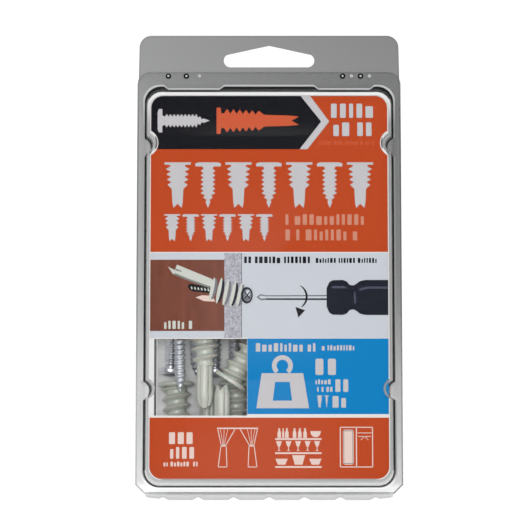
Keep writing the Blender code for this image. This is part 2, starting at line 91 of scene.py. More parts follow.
def surface(name, colour, roughness, vary=0.06, scale=900.0, stretch=(1, 1, 1), bump=0.0, **sockets):
    """A Principled material whose colour drifts with noise over the piece, with an optional fine bump."""
    made = bpy.data.materials.new(name)
    made.use_nodes = True
    tree = made.node_tree
    shader = tree.nodes["Principled BSDF"]
    where = tree.nodes.new("ShaderNodeTexCoord")
    place = tree.nodes.new("ShaderNodeMapping")
    place.inputs["Scale"].default_value = stretch
    noise = tree.nodes.new("ShaderNodeTexNoise")
    noise.inputs["Scale"].default_value = scale
    noise.inputs["Detail"].default_value = 3.0
    mix = tree.nodes.new("ShaderNodeMix")
    mix.data_type = "RGBA"
    mix.inputs[6].default_value = (*(max(0.0, c * (1 - 2 * vary)) for c in colour), 1.0)
    mix.inputs[7].default_value = (*(min(1.0, c * (1 + 2 * vary)) for c in colour), 1.0)
    tree.links.new(where.outputs["Object"], place.inputs["Vector"])
    tree.links.new(place.outputs["Vector"], noise.inputs["Vector"])
    tree.links.new(noise.outputs["Fac"], mix.inputs["Factor"])
    tree.links.new(mix.outputs[2], shader.inputs["Base Color"])
    shader.inputs["Roughness"].default_value = roughness
    for socket, value in sockets.items():
        shader.inputs[SOCKETS.get(socket, socket.replace("_", " ").title())].default_value = value
    if bump:
        relief = tree.nodes.new("ShaderNodeBump")
        relief.inputs["Strength"].default_value = bump
        relief.inputs["Distance"].default_value = 0.0002
        tree.links.new(noise.outputs["Fac"], relief.inputs["Height"])
        tree.links.new(relief.outputs["Normal"], shader.inputs["Normal"])
    return made


def grey_over_height(tree, stops):
    """A grey ramp over the height in the piece's own coordinates, from (millimetres, grey level) stops."""
    low, high = stops[0][0], stops[-1][0]
    where = tree.nodes.new("ShaderNodeTexCoord")
    split = tree.nodes.new("ShaderNodeSeparateXYZ")
    span = tree.nodes.new("ShaderNodeMapRange")
    ramp = tree.nodes.new("ShaderNodeValToRGB")
    span.inputs["From Min"].default_value = low * MM
    span.inputs["From Max"].default_value = high * MM
    while len(ramp.color_ramp.elements) < len(stops):
        ramp.color_ramp.elements.new(0.5)
    for element, (height, level) in zip(ramp.color_ramp.elements, stops):
        element.position = (height - low) / (high - low)
        element.color = (*srgb(level, level + 1, level + 1), 1.0)
    tree.links.new(where.outputs["Object"], split.inputs["Vector"])
    tree.links.new(split.outputs["Z"], span.inputs["Value"])
    tree.links.new(span.outputs["Result"], ramp.inputs["Fac"])
    return ramp.outputs["Color"], split.outputs["X"]


def clear(name, left, right, alpha, roughness=0.15, edge=None, ior=1.5):
    """Clear plastic whose grey runs over its height, different on each side, which paints light and shade on
    some pieces. edge paints a dark reflection where it is seen edge on.
    """
    made = bpy.data.materials.new(name)
    made.use_nodes = True
    tree = made.node_tree
    shader = tree.nodes["Principled BSDF"]
    lefts, x = grey_over_height(tree, left)
    rights, _ = grey_over_height(tree, right)
    across = tree.nodes.new("ShaderNodeMapRange")
    across.inputs["From Min"].default_value = -46.0 * MM
    across.inputs["From Max"].default_value = 46.0 * MM
    noise = tree.nodes.new("ShaderNodeTexNoise")
    noise.inputs["Scale"].default_value = 60.0
    sides = tree.nodes.new("ShaderNodeMix")
    sides.data_type = "RGBA"
    cloudy = tree.nodes.new("ShaderNodeMix")
    cloudy.data_type = "RGBA"
    cloudy.blend_type = "OVERLAY"
    cloudy.inputs["Factor"].default_value = 0.06
    tree.links.new(x, across.inputs["Value"])
    tree.links.new(across.outputs["Result"], sides.inputs["Factor"])
    tree.links.new(lefts, sides.inputs[6])
    tree.links.new(rights, sides.inputs[7])
    tree.links.new(sides.outputs[2], cloudy.inputs[6])
    tree.links.new(noise.outputs["Color"], cloudy.inputs[7])
    colour = cloudy.outputs[2]
    # Painted dark reflection where the surface is seen edge on.
    if edge:
        facing = tree.nodes.new("ShaderNodeLayerWeight")
        narrow = tree.nodes.new("ShaderNodeMapRange")
        narrow.inputs["From Min"].default_value = 0.66
        narrow.inputs["From Max"].default_value = 0.80
        dark = tree.nodes.new("ShaderNodeMix")
        dark.data_type = "RGBA"
        dark.inputs[7].default_value = (*edge, 1.0)
        tree.links.new(facing.outputs["Facing"], narrow.inputs["Value"])
        tree.links.new(narrow.outputs["Result"], dark.inputs["Factor"])
        tree.links.new(colour, dark.inputs[6])
        colour = dark.outputs[2]
    tree.links.new(colour, shader.inputs["Base Color"])
    shader.inputs["Roughness"].default_value = roughness
    shader.inputs["Specular IOR Level"].default_value = 0.2
    shader.inputs["IOR"].default_value = ior
    shader.inputs["Alpha"].default_value = alpha
    return made


def even(level):
    return [(-160, level), (4, level)]


# Painted dark reflection, which clear walls take where they are seen edge on.
DARK_EDGE_REFLECTION = srgb(14, 20, 22)
# Painted light and shade on the flange: a painted highlight along its bottom edge, lighter towards the
# bottom, and darker on the right.
FLANGE = clear(
    "clear_flange",
    [(-157, 254), (-154.6, 250), (-153, 206), (-130, 176), (-90, 202), (-27, 188), (-10, 152), (4, 148)],
    [(-157, 254), (-154.6, 252), (-153, 206), (-125, 178), (-90, 150), (-27, 138), (4, 118)],
    0.68,
)
# Painted shade on the header: darker towards the top, and darker on the right.
HEADER = clear("clear_header", [(-157, 190), (-90, 150), (4, 112)], [(-157, 190), (-90, 120), (4, 64)], 0.56)
# The wall's own pale grey, with a painted dark reflection where it is seen edge on.
WALL = clear("clear_wall", even(188), even(188), 0.32, edge=DARK_EDGE_REFLECTION)
# A painted dark band of shade and reflection on the wall next to the mouth, and over the top wall.
WALL_PAINTED_DARK = clear("clear_wall_painted_dark", even(172), even(172), 0.74, roughness=0.4, edge=DARK_EDGE_REFLECTION, ior=1.06)
TRAY = clear("clear_tray", even(205), even(205), 0.16)
# Painted shade on the flange's rim, darker on the right.
RIM = clear("clear_rim", even(138), even(112), 0.70)
FACE = clear("clear_face", even(70), even(70), 0.02)
# A painted dark line of shade and reflection along the bends and round the strong snap studs.
BEND_PAINTED_DARK = clear("clear_bend_painted_dark", even(16), even(14), 0.88, roughness=0.4, ior=1.06)
# Painted light and shade on the bend round the front face: a painted highlight along the top, and darker on
# the right.
FACE_BEND_PAINTED_LIGHT = clear(
    "clear_face_bend_painted_light",
    [(-160, 205), (-146, 190), (-30, 176), (-19.8, 255), (4, 255)],
    [(-160, 205), (-146, 170), (-30, 150), (-19.8, 255), (4, 255)],
    0.75,
)
GLINT = clear(
    "clear_glint",
    [(-160, 255), (-153, 255), (-150, 196), (-30, 176), (-18, 212), (4, 220)],
    [(-160, 255), (-153, 255), (-150, 178), (-30, 158), (-18, 212), (4, 220)],
    0.85,
)
# A painted highlight: the hinge bead, and the webs under it, are lighter than the flange.
BEAD = clear("clear_bead", even(232), even(232), 0.80)

BOARD = surface("board", srgb(228, 222, 219), 0.6, vary=0.04, scale=1500.0, bump=0.1)
BACK_BOARD = surface("back_board", srgb(236, 237, 237), 0.65, vary=0.06, scale=700.0, bump=0.15)
DULL = dict(specular_ior_level=0.03)
INK = dict(roughness=0.6, vary=0.03, scale=2600.0, **DULL)
ORANGE = surface("ink_orange", srgb(189, 72, 32), **INK)
BLACK = surface("ink_black", srgb(20, 21, 26), **INK)
SILVER = surface("ink_silver", srgb(198, 196, 199), **INK)
BLUE = surface("ink_blue", srgb(4, 128, 194), **INK)
PANEL = surface("ink_panel", srgb(202, 207, 215), **INK)
BROWN = surface("ink_brown", srgb(121, 70, 55), 0.5, 0.16, 160.0, (3, 1, 0.5), **DULL)
PLASTER = surface("ink_plaster", srgb(172, 172, 181), 0.5, 0.42, 1700.0, **DULL)
IVORY = surface("ink_ivory", srgb(205, 208, 200), **INK)
SHADE = surface("ink_shade", srgb(128, 130, 122), **INK)
NAVY = surface("ink_navy", srgb(28, 31, 43), 0.5, 0.22, 220.0, (0.6, 1, 2.2), **DULL)
STEEL_INK = surface("ink_steel", srgb(120, 122, 128), **INK)
RUST = surface("ink_rust", srgb(205, 92, 58), **INK)
PALE_RUST = surface("ink_pale_rust", srgb(208, 140, 116), **INK)
PALE = surface("ink_pale", srgb(232, 206, 196), **INK)
SLATE = surface("ink_slate", srgb(78, 82, 100), **INK)

NYLON = surface(
    "nylon", srgb(200, 204, 194), 0.36, vary=0.07, scale=260.0, bump=0.12,
    subsurface_weight=0.25, subsurface_scale=0.002,
)
ZINC = surface("zinc_steel", srgb(232, 236, 243), 0.34, vary=0.06, scale=500.0, bump=0.08, metallic=0.85)


# ---------------------------------------------------------------- mesh helpers


def piece(name, bm, materials, smooth=40.0):
    """A named object from a bmesh in metres, smooth where its faces meet at less than the angle."""
    mesh = bpy.data.meshes.new(name)
    bm.to_mesh(mesh)
    bm.free()
    mesh.shade_smooth()
    mesh.set_sharp_from_angle(angle=math.radians(smooth))
    for material in materials:
        mesh.materials.append(material)
    made = bpy.data.objects.new(name, mesh)
    bpy.context.scene.collection.objects.link(made)
    return made


def settled(made):
    """Applies an object's modifiers to its mesh."""
    graph = bpy.context.evaluated_depsgraph_get()
    mesh = bpy.data.meshes.new_from_object(made.evaluated_get(graph))
    mesh.shade_smooth()
    mesh.set_sharp_from_angle(angle=math.radians(40))
    made.modifiers.clear()
    made.data = mesh
    return made


def cut(made, *cutters):
    """Subtracts cutters from an object and removes them."""
    for cutter in cutters:
        step = made.modifiers.new("cut", "BOOLEAN")
        step.operation = "DIFFERENCE"
        step.solver = "EXACT"
        step.object = cutter
    settled(made)
    for cutter in cutters:
        bpy.data.objects.remove(cutter)
    return made


def arc(cx, cz, radius, start, sweep, steps):
    turns = [math.radians(start + sweep * k / steps) for k in range(steps + 1)]
    return [(cx + radius * math.cos(a), cz + radius * math.sin(a)) for a in turns]


def extruded(bm, loops, y_low, y_high, slot=0):
    """A closed prism along Y from an outline and its holes, as (x, z) in millimetres."""
    edges = []
    for loop in loops:
        verts = [bm.verts.new((x * MM, y_high * MM, z * MM)) for x, z in loop]
        edges += [bm.edges.new(pair) for pair in zip(verts, verts[1:] + verts[:1])]
    filled = bmesh.ops.triangle_fill(bm, use_beauty=True, edges=edges)
    faces = [g for g in filled["geom"] if isinstance(g, bmesh.types.BMFace)]
    grown = bmesh.ops.extrude_face_region(bm, geom=faces)["geom"]
    moved = [g for g in grown if isinstance(g, bmesh.types.BMVert)]
    bmesh.ops.translate(bm, verts=moved, vec=(0, (y_low - y_high) * MM, 0))
    for face in faces + [g for g in grown if isinstance(g, bmesh.types.BMFace)]:
        if face.is_valid:
            face.material_index = slot


# ---------------------------------------------------------------- clear shells


def side_points(x, depth, direction):
    """Both lugs on one side, upwards for direction 1."""
    inwards = -math.copysign(1, x)
    bow = (LUG_HALF**2 + LUG_DEPTH**2) / (2 * LUG_DEPTH)
    points = []
    for z in LUG_ZS[::direction]:
        for k in range(15):
            s = math.sin(math.pi * (k / 14 - 0.5)) * direction
            rise = (math.sqrt(bow**2 - (LUG_HALF * s) ** 2) - (bow - LUG_DEPTH)) / LUG_DEPTH
            points.append((x + inwards * depth * rise, z + LUG_HALF * s))
    return points


def outline(half, top, bottom, top_radius, bottom_radius, lug=0.0, recess=0.0, chamfer=False):
    """A closed outline, clockwise from the front, with the same count of points at every size."""
    lower = arc(-half + bottom_radius, bottom + bottom_radius, bottom_radius, 270, -90, 10)
    if chamfer:
        (x0, z0), (x1, z1) = lower[0], lower[-1]
        lower = [(x0 + (x1 - x0) * k / 10, z0 + (z1 - z0) * k / 10) for k in range(11)]
    points = lower + side_points(-half, lug, 1)
    points += arc(-half + top_radius, top - top_radius, top_radius, 180, -90, 10)
    spread = min(1.0, (half - top_radius - 0.3) / (RECESS_X + RECESS_HALF))
    for side in (-1, 1):
        ends = (-RECESS_HALF, 0), (-RECESS_FLAT_HALF, 1), (RECESS_FLAT_HALF, 1), (RECESS_HALF, 0)
        for offset, share in ends:
            points.append(((side * RECESS_X + offset) * spread, top - recess * share))
    upper = arc(-half + top_radius, top - top_radius, top_radius, 180, -90, 10)
    points += [(-x, z) for x, z in reversed(upper)]
    points += side_points(half, lug, -1)
    points += [(-x, z) for x, z in reversed(lower)]
    return points


def rim(half, top, bottom, top_radius, inset):
    """A flange's outline, moved inwards by inset."""
    radii = top_radius - inset / 2, FLANGE_CUT - inset / 2
    return outline(half - inset, top - inset, bottom + inset, *radii, chamfer=True)


def mouth(inset, lug=0.0, recess=0.0, top_slope=1.0):
    radius = max(1.0, MOUTH_RADIUS - inset / 2)
    down = min(inset, FRONT_DRAFT - 0.1) * (top_slope - 1.0) if inset > 0 else 0.0
    down += max(0.0, inset - FRONT_DRAFT) * 0.9 * (top_slope > 1.0)
    top, bottom = MOUTH_TOP - inset - down, MOUTH_BOTTOM + inset
    return outline(MOUTH_HALF - inset, top, bottom, radius, radius, lug, recess)


def header_outline(inset=0.0):
    """The back flange with the narrower header above its shoulder."""
    points = rim(FLANGE_HALF, HEADER_TOP, FLANGE_BOTTOM, 4.2, inset)
    narrowed = []
    for x, z in points:
        share = min(1.0, max(0.0, (z + 11.8) / 1.6))
        narrowing = (FLANGE_HALF - HEADER_HALF) * share
        narrowed.append((x - math.copysign(narrowing, x) if abs(x) > 5 else x, z))
    return narrowed


def ring_sheet(bm, rings, slots):
    """A sheet through rings of (outline, y), closed by the last ring. slots gives each band's material."""
    loops = [[bm.verts.new((x * MM, y * MM, z * MM)) for x, z in points] for points, y in rings]
    for outer, inner, slot in zip(loops, loops[1:], slots):
        for k in range(len(outer)):
            n = (k + 1) % len(outer)
            bm.faces.new((outer[k], outer[n], inner[n], inner[k])).material_index = slot
    bm.faces.new(loops[-1]).material_index = slots[-1]


def lobe_share(x):
    """How far the hinge bead hangs at x, from 0 in a notch to 1 in a lobe."""
    if abs(x) > 3 * LOBE_PITCH + 1:
        return 0.55 * max(0.0, (42.4 - abs(x)) / 5.0)
    near = abs(x - round(x / LOBE_PITCH) * LOBE_PITCH)
    return min(1.0, max(0.0, (near - 0.5) / 1.5))


def bead(bm, side, slot):
    """Half of the hinge bead: a lens-shaped strip below the flange, notched between its lobes."""
    xs = np.linspace(-42.4, 42.4, 230)
    rows = []
    for step in range(7):
        turn = math.pi / 2 * step / 6
        row = []
        for x in xs:
            share = lobe_share(x)
            drop = 0.8 + 0.9 * share
            bulge = (0.9 + 0.4 * share) * math.sin(2 * turn) * min(1.0, (42.6 - abs(x)) / 1.5)
            z = FLANGE_BOTTOM + 0.3 * (step == 0) - drop * (1 - math.cos(turn))
            row.append(bm.verts.new((x * MM, side * (FLANGE_Y + bulge) * MM, z * MM)))
        rows.append(row)
    for upper, lower in zip(rows, rows[1:]):
        for k in range(len(xs) - 1):
            bm.faces.new((upper[k], upper[k + 1], lower[k + 1], lower[k])).material_index = slot


def sheet_object(name, bm, materials, outward_y):
    bmesh.ops.recalc_face_normals(bm, faces=bm.faces)
    islands_out(bm, outward_y)
    made = piece(name, bm, materials)
    thick = made.modifiers.new("sheet", "SOLIDIFY")
    thick.thickness = SHEET * MM
    thick.offset = 1.0
    thick.use_even_offset = False
    return made


def islands_out(bm, outward_y):
    """Turns each island of a sheet so that its widest face looks along outward_y."""
    left = set(bm.faces)
    while left:
        island, queue = set(), [next(iter(left))]
        while queue:
            face = queue.pop()
            if face in island:
                continue
            island.add(face)
            queue += [other for edge in face.edges for other in edge.link_faces if other not in island]
        left -= island
        facing = sum(face.normal.y * face.calc_area() for face in island)
        if facing * outward_y < 0:
            bmesh.ops.reverse_faces(bm, faces=list(island))


def hang_outline():
    """The hang hole: level floor, round ends, and two slopes up to the peg's bearing point."""
    right = arc(13.5, -5.3, 2.4, -90, 150, 12)
    return [*right, (0.6, -0.1), (0.0, 0.0), (-0.6, -0.1), *[(-x, z) for x, z in reversed(right)]]


def fillet_rings(make, draft, y_start, y_end, mouth_fillet, face_fillet):
    """Rings down a wall from its mouth to its face, with both bends rounded."""
    direction = math.copysign(1, y_end - y_start)
    rings = [(make(-mouth_fillet - 0.5), y_start)]
    for k in range(5):
        a = math.pi / 2 * k / 4
        y = y_start + direction * mouth_fillet * (1 - math.cos(a))
        rings.append((make(-mouth_fillet * (1 - math.sin(a))), y))
    rings.append((make(draft * 0.4), y_start + (y_end - y_start) * 0.4))
    for k in range(6):
        a = math.pi / 2 * k / 5
        inset = draft - 0.1 + face_fillet * (1 - math.cos(a))
        rings.append((make(inset), y_end - direction * face_fillet * (1 - math.sin(a))))
    return rings


def back_shell():
    bm = bmesh.new()
    walls = fillet_rings(mouth, BACK_DRAFT, FLANGE_Y, BACK_Y, 1.0, 1.8)
    # Bands from the rim inwards: rim, header, painted glint round the mouth, painted dark line down the
    # mouth's bend, wall, painted dark line at the face's bend, wall, face.
    slots = [5, 0, 3, 3, 1, 1, 1] + [2, 2] + [1] * 2 + [2] * 3 + [2]
    ring_sheet(bm, [(header_outline(), FLANGE_Y), (header_outline(0.5), FLANGE_Y), *walls], slots)
    bead(bm, 1, 4)
    made = sheet_object("clear_back", bm, [HEADER, BEND_PAINTED_DARK, TRAY, GLINT, BEAD, RIM], 1)
    hole = bmesh.new()
    extruded(hole, [hang_outline()], -2, 3)
    bmesh.ops.recalc_face_normals(hole, faces=hole.faces)
    return cut(made, piece("hole", hole, [HEADER]))


def front_shell():
    bm = bmesh.new()

    def ring(inset):
        recess = RECESS_DEPTH * max(0.0, 1 - max(0.0, inset) / FRONT_DRAFT)
        return mouth(inset, LUG_DEPTH, recess, FRONT_TOP_SLOPE)

    walls = fillet_rings(ring, FRONT_DRAFT, -FLANGE_Y, FACE_Y, 0.7, 0.7)
    edges = [(rim(FLANGE_HALF, FRONT_TOP, FLANGE_BOTTOM, 4.5, inset), -FLANGE_Y) for inset in (0.0, 0.5)]
    # Bands from the flange's edge inwards: rim, flange, painted glint round the mouth, painted dark line
    # down the mouth's bend, painted dark band on the wall, wall, painted light on the face's bend, face.
    slots = [7, 0, 3, 3, 1, 1, 1] + [9, 2] + [5] * 4 + [4, 4]
    ring_sheet(bm, [*edges, *walls], slots)
    # Near the bottom the wall takes the lighter, clearer tray plastic, without painted dark band or edge;
    # near the top all the wall takes the painted dark band.
    for face in bm.faces:
        height = face.calc_center_median().z
        if face.material_index in (2, 9) and height < (MOUTH_BOTTOM + 5) * MM:
            face.material_index = 8
        elif face.material_index == 2 and height > (MOUTH_TOP - 5.2) * MM:
            face.material_index = 9
    bead(bm, -1, 6)
    surfaces = [FLANGE, BEND_PAINTED_DARK, WALL, GLINT, FACE, FACE_BEND_PAINTED_LIGHT, BEAD, RIM, TRAY, WALL_PAINTED_DARK]
    made = sheet_object("clear_front", bm, surfaces, -1)
    return settled(made)


def lathe(profile, sides, axis="Z"):
    """A closed solid from a profile of (radius, height) whose ends lie on the axis, in millimetres."""
    bm = bmesh.new()
    rows = []
    for radius, height in profile:
        if radius == 0:
            rows.append([bm.verts.new((0, 0, height * MM))])
        else:
            turns = [TAU * k / sides for k in range(sides)]
            ring = [(radius * math.cos(a) * MM, radius * math.sin(a) * MM, height * MM) for a in turns]
            rows.append([bm.verts.new(point) for point in ring])
    for above, below in zip(rows, rows[1:]):
        for k in range(sides):
            n = (k + 1) % sides
            corners = [above[k % len(above)], above[n % len(above)]]
            corners += [below[n % len(below)], below[k % len(below)]]
            bm.faces.new(list(dict.fromkeys(corners)))
    bmesh.ops.recalc_face_normals(bm, faces=bm.faces)
    if axis == "Y":
        bmesh.ops.rotate(bm, verts=bm.verts, matrix=Matrix.Rotation(math.pi / 2, 3, "X"))
    return bm


def snap_dots():
    """The pressed snap studs: a ring painted dark round a dished centre with a painted glint; the faint
    studs' rings have a painted glint too.
    """
    dots = []
    places = [(-35.3, 1.0, True), (-29.0, 1.0, True), (25.8, 1.0, True), (32.1, 1.0, True)]
    places += [(-24.4, 0.7, False), (28.9, 0.7, False), (35.2, 0.7, False)]
    for number, (x, size, strong) in enumerate(places, 1):
        profile = [(0.5, 0.12), (0.8, 0.3), (1.0, 0.0), (0.8, -0.2)]
        profile = [(0, 0.2), *[(radius * size, height) for radius, height in profile], (0, -0.2)]
        ring = lathe(profile, 20, "Y")
        made = piece(f"snap_dot_{number}", ring, [BEND_PAINTED_DARK if strong else GLINT], 60)
        centre = lathe([(0, 0.34), (0.3 * size, 0.3), (0.42 * size, 0.1), (0, 0.0)], 14, "Y")
        bright = piece(f"snap_centre_{number}", centre, [GLINT], 60)
        for part in (made, bright):
            part.location = (x * MM, -0.62 * MM, STUD_Z * MM)
            dots.append(part)
    return dots


def hinge_webs():
    """A thin flat strip under each lobe, between the two halves."""
    bm = bmesh.new()
    for k in range(-3, 3):
        left, right = k * LOBE_PITCH + 2.2, (k + 1) * LOBE_PITCH - 2.2
        ys = np.linspace(-0.6, 0.6, 9)
        rows = [[bm.verts.new((x * MM, y * MM, (HINGE_Z + 0.3) * MM)) for x in (left, right)] for y in ys]
        for one, two in zip(rows, rows[1:]):
            bm.faces.new((one[0], one[1], two[1], two[0]))
    bmesh.ops.recalc_face_normals(bm, faces=bm.faces)
    made = piece("hinge_webs", bm, [BEAD])
    thick = made.modifiers.new("sheet", "SOLIDIFY")
    thick.thickness = 0.16 * MM
    thick.offset = 0.0
    return settled(made)


# ---------------------------------------------------------------- drawing on the card

INK_THICKNESS = 0.012
INK_STEP = 0.018


class Drawing:
    """Shapes in one ink at one level above the card, as outlines in millimetres."""

    def __init__(self, name, level, ink):
        self.name, self.level, self.ink = name, level, ink
        self.shapes = []

    def add(self, *loops):
        self.shapes.append(loops)
        return self

    def box(self, x0, z0, x1, z1, radius=0.0):
        return self.add(rectangle(x0, z0, x1, z1, radius))

    def line(self, points, width, closed=False):
        """A drawn line as one quad for each stretch."""
        ends = [*points, points[0]] if closed else points
        for (x0, z0), (x1, z1) in zip(ends, ends[1:]):
            length = math.hypot(x1 - x0, z1 - z0)
            dx, dz = (z1 - z0) / length * width / 2, -(x1 - x0) / length * width / 2
            near, far = [(x0 + dx, z0 + dz), (x1 + dx, z1 + dz)], [(x1 - dx, z1 - dz), (x0 - dx, z0 - dz)]
            self.add(near + far)
        return self

    def dashes(self, x0, z0, x1, z1, seed, tall=0.62):
        """A generic row of upright dashes that stands for a line of print."""
        dice = random.Random(seed)
        height = abs(z1 - z0)
        x = x0
        while x < x1 - height * 0.3:
            width = min(height * dice.choice((0.28, 0.4, 0.4, 0.52)), x1 - x)
            if dice.random() < 0.15:
                x += height * 0.35
                continue
            rise = height * dice.choice((0.0, 0.0, 0.18))
            self.box(x, min(z0, z1), x + width, max(z0, z1) - rise, height * 0.08)
            x += width + height * (1 - tall) * 0.6
        return self

    def done(self):
        bm = bmesh.new()
        top = CARD_Y - 0.004 - self.level * INK_STEP
        for loops in self.shapes:
            extruded(bm, loops, top - INK_THICKNESS, top)
        bmesh.ops.recalc_face_normals(bm, faces=bm.faces)
        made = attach(piece(f"print_{self.name}", bm, [self.ink]), "front")
        return made


def rectangle(x0, z0, x1, z1, radius=0.0):
    if not radius:
        return [(x0, z0), (x0, z1), (x1, z1), (x1, z0)]
    r = min(radius, (x1 - x0) / 2, (z1 - z0) / 2)
    return [
        *arc(x0 + r, z0 + r, r, 270, -90, 6),
        *arc(x0 + r, z1 - r, r, 180, -90, 6),
        *arc(x1 - r, z1 - r, r, 90, -90, 6),
        *arc(x1 - r, z0 + r, r, 0, -90, 6),
    ]


def placed(points, x, z, angle, scale=1.0, flip=1.0):
    """Local (along, across) points turned so that along points at angle, in degrees."""
    c, s = math.cos(math.radians(angle)), math.sin(math.radians(angle))
    return [(x + scale * (a * c - flip * b * s), z + scale * (a * s + flip * b * c)) for a, b in points]


def mirrored(upper):
    """Closes an upper edge from head to tip with its mirror image."""
    return upper + [(a, -b) for a, b in reversed(upper) if b > 0]


def anchor_shape(turns=5):
    """An anchor's silhouette, 1 long, from its head at 0 to its forked tip."""
    upper = [(0.0, 0.19), (0.05, 0.19), (0.055, 0.11)]
    for k in range(turns):
        start = 0.09 + k * 0.46 / turns
        radius = 0.165 - 0.03 * k / turns
        upper.append((start, 0.105 - 0.02 * k / turns))
        upper += [(start + 0.2 / turns, radius), (start + 0.26 / turns, radius)]
    upper += [(0.58, 0.085), (0.88, 0.075), (1.0, 0.06)]
    lower = [(a, -b) for a, b in reversed(upper)]
    return upper + [(0.91, 0.0)] + lower


def screw_shape(turns=11):
    """A screw's silhouette, 1 long, from its head at 0 to its point."""
    upper = [(0.0, 0.09), (0.025, 0.12), (0.09, 0.12), (0.09, 0.055)]
    for k in range(turns):
        start = 0.14 + k * 0.78 / turns
        fade = min(1.0, (turns - k) / 3)
        upper += [(start, 0.042 * fade), (start + 0.5 * 0.78 / turns, 0.07 * fade)]
    return mirrored(upper)


def with_point(shape):
    """Adds the sharp point at the far end of a screw's silhouette."""
    middle = len(shape) // 2
    return shape[:middle] + [(1.0, 0.0)] + shape[middle:]


def notched_field(left, right, top, bottom, radius, notch):
    """A rounded field with a round bite at each lug, clockwise from the lower left."""
    points = arc(left + radius, bottom + radius, radius, 270, -90, 10)
    wall = MOUTH_HALF - FRONT_DRAFT
    bow = (LUG_HALF**2 + LUG_DEPTH**2) / (2 * LUG_DEPTH)
    centre = wall - LUG_DEPTH + bow
    reach = bow + notch

    def bite(x, z, direction):
        side = math.copysign(1, x)
        half = math.sqrt(max(0.01, reach**2 - (centre - abs(x)) ** 2))
        turn = math.atan2(half, centre - abs(x))
        angles = np.linspace(-turn, turn, 13) * direction
        return [(side * (centre - reach * math.cos(a)), z + reach * math.sin(a)) for a in angles]

    for z in LUG_ZS:
        points += bite(left, z, 1)
    points += arc(left + radius, top - radius, radius, 180, -90, 10)
    points += arc(right - radius, top - radius, radius, 90, -90, 10)
    for z in LUG_ZS[::-1]:
        points += bite(right, z, -1)
    points += arc(right - radius, bottom + radius, radius, 0, -90, 10)
    return points


LEFT, RIGHT = -40.85, 40.85
PRINT_TOP, PRINT_BOTTOM = -19.9, -152.25
BANNER_BOTTOM = -38.6
PICTURE_TOP, PICTURE_BOTTOM = -74.4, -104.2
BLUE_LEFT, BLUE_BOTTOM = -7.5, -130.2
LOWER_TOP = -131.4


def clipped(points, keep_above=None, keep_below=None):
    """A clockwise outline cut off level at the given heights."""
    for level, keep in ((keep_above, 1), (keep_below, -1)):
        if level is None:
            continue
        kept = []
        for (x0, z0), (x1, z1) in zip(points, points[1:] + points[:1]):
            inside0, inside1 = (z0 - level) * keep >= 0, (z1 - level) * keep >= 0
            if inside0:
                kept.append((x0, z0))
            if inside0 != inside1:
                t = (level - z0) / (z1 - z0)
                kept.append((x0 + (x1 - x0) * t, level))
        points = kept
    return points


def print_fields():
    """The card's colour fields, below every drawing."""
    field = notched_field(LEFT, RIGHT, PRINT_TOP, PRINT_BOTTOM, 4.2, 1.1)
    Drawing("orange_field", 0, ORANGE).add(clipped(field, keep_above=PICTURE_TOP)).add(
        clipped(field, keep_below=LOWER_TOP)
    ).done()
    upper = clipped(field, keep_above=BANNER_BOTTOM)
    banner = [p for p in upper if p[0] < 0] + [(10.9, PRINT_TOP), (18.0, -28.9), (10.5, BANNER_BOTTOM)]
    Drawing("banner", 1, BLACK).add(banner).done()
    stripe = [(10.9, PRINT_TOP), (14.2, PRINT_TOP), (20.8, -28.9)]
    stripe += [(13.2, BANNER_BOTTOM), (10.5, BANNER_BOTTOM), (18.0, -28.9)]
    Drawing("banner_stripe", 1, SILVER).add(stripe).done()
    Drawing("picture_panel", 0, PANEL).box(LEFT, PICTURE_BOTTOM + 0.1, RIGHT, PICTURE_TOP - 0.3).done()
    Drawing("picture_wood", 1, BROWN).box(LEFT, -101.7, -15.4, -77.1).done()
    Drawing("picture_plaster", 1, PLASTER).box(-15.4, PICTURE_BOTTOM + 0.1, -9.5, -74.8).done()
    Drawing("blue_panel", 0, BLUE).box(BLUE_LEFT, BLUE_BOTTOM, RIGHT, PICTURE_BOTTOM - 0.1).done()


def print_banner_marks():
    silver = Drawing("banner_screw", 2, SILVER)
    silver.add(placed(with_point(screw_shape()), -38.6, -28.6, 0, 18.0, 1.9))
    silver.done()
    orange = Drawing("banner_anchor", 2, RUST)
    orange.add(placed(anchor_shape(6), -18.2, -28.6, 0, 28.5, 0.85))
    orange.done()
    side = Drawing("banner_side_dashes", 2, SILVER)
    side.dashes(21.4, -27.6, 36.8, -22.6, 3).dashes(22.2, -34.0, 36.8, -29.2, 4)
    side.done()
    Drawing("banner_side_small", 2, RUST).dashes(17.0, -37.2, 37.0, -35.6, 5).done()


def print_title():
    """Seven tall pictograms in place of a title, six smaller ones below, and two rows of dashes."""
    title = Drawing("title_pictograms", 1, SILVER)
    for k in range(7):
        x = -31.6 + k * 10.5
        if k % 2:
            title.add(placed(with_point(screw_shape(8)), x, -43.2, -90, 15.9, 2.3))
        else:
            title.add(placed(anchor_shape(4), x, -43.2, -90, 15.9, 1.5))
    for k in range(6):
        x = -33.4 + k * 6.35
        shape = with_point(screw_shape(7)) if k % 2 else anchor_shape(3)
        title.add(placed(shape, x, -61.3, -90, 9.4, 2.5 if k % 2 else 1.55))
    title.done()
    small = Drawing("title_dashes", 1, PALE_RUST)
    small.dashes(5.6, -65.0, 34.3, -61.3, 6).dashes(5.6, -70.4, 31.4, -66.6, 7)
    small.done()


